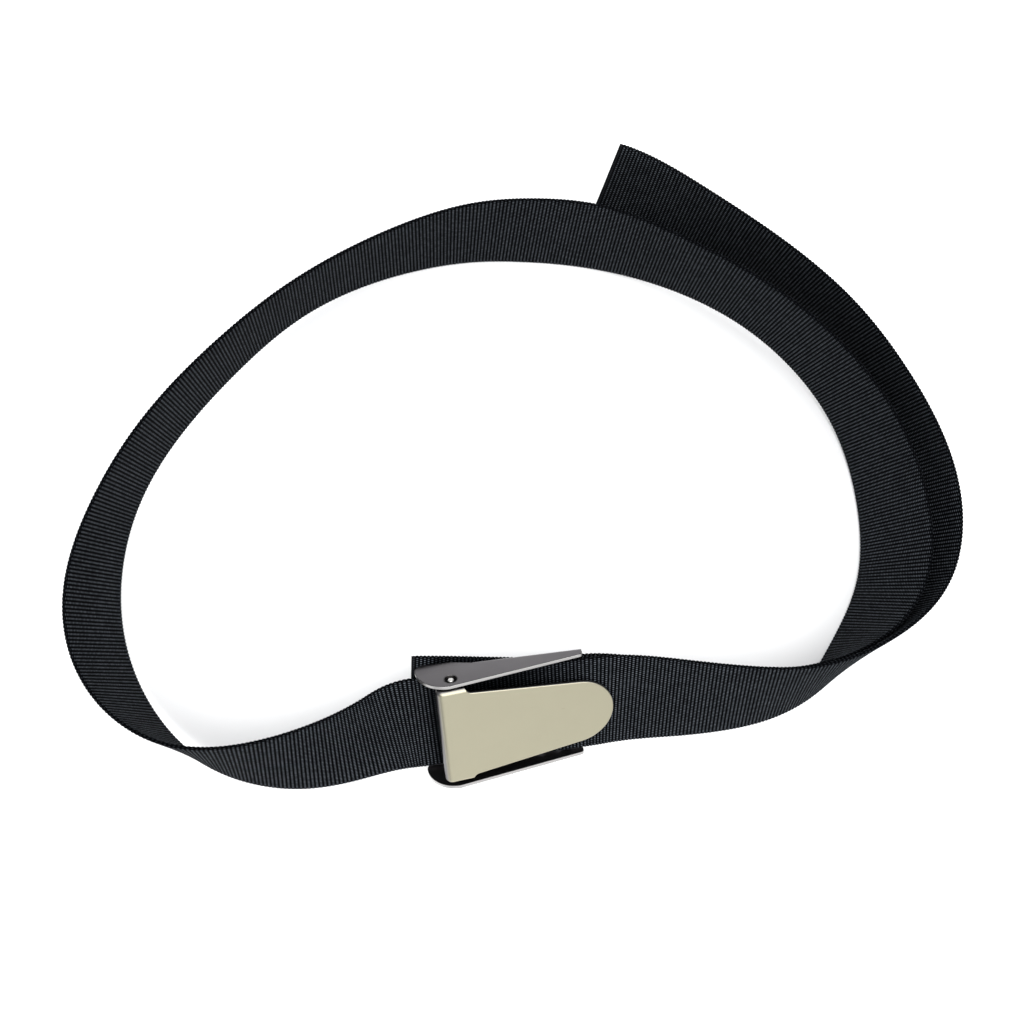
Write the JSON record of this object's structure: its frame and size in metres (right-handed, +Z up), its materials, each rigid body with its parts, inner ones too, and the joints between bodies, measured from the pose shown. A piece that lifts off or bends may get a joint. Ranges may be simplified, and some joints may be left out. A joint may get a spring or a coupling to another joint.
{
  "type": "dive weight belt",
  "caption": "Weight belt for diving: one ribbed nylon webbing strap lying in a loop on its edge, closed by a stainless cam lever buckle, with its free tail outside the loop.",
  "frame": {"origin": "on the floor, under the middle of the belt's footprint as it lies", "axes": "+X along the buckle from its hinge end to its tongue tip, +Y from the buckle towards the far side of the loop, +Z up"},
  "size_m": [0.3868, 0.2766, 0.0573],
  "materials": {
    "webbing": "ribbed dark charcoal nylon webbing, semi-matt",
    "frame_steel": "satin stainless sheet with bright cut edges",
    "lever_steel": "fine-ground stainless sheet with a bright rounded rim",
    "pin_steel": "satin steel pin with peened ends"
  },
  "bodies": {
    "belt": {"strap_fixed_end": "webbing", "strap_on_middle_bar": "webbing", "strap_loop_right": "webbing", "strap_loop_left": "webbing", "strap_in_buckle": "webbing", "strap_tail": "webbing", "buckle_frame": "frame_steel", "hinge_pin": "pin_steel"},
    "lever": {"cam_lever": "lever_steel"}
  },
  "joints": [
    {"name": "lever_hinge", "type": "hinge", "parent": "belt", "child": "lever", "pos_m": [-0.04108, -0.11206, 0.02685], "axis": [0, -0.8192, -0.5736], "range_deg": [0, 95]}
  ]
}
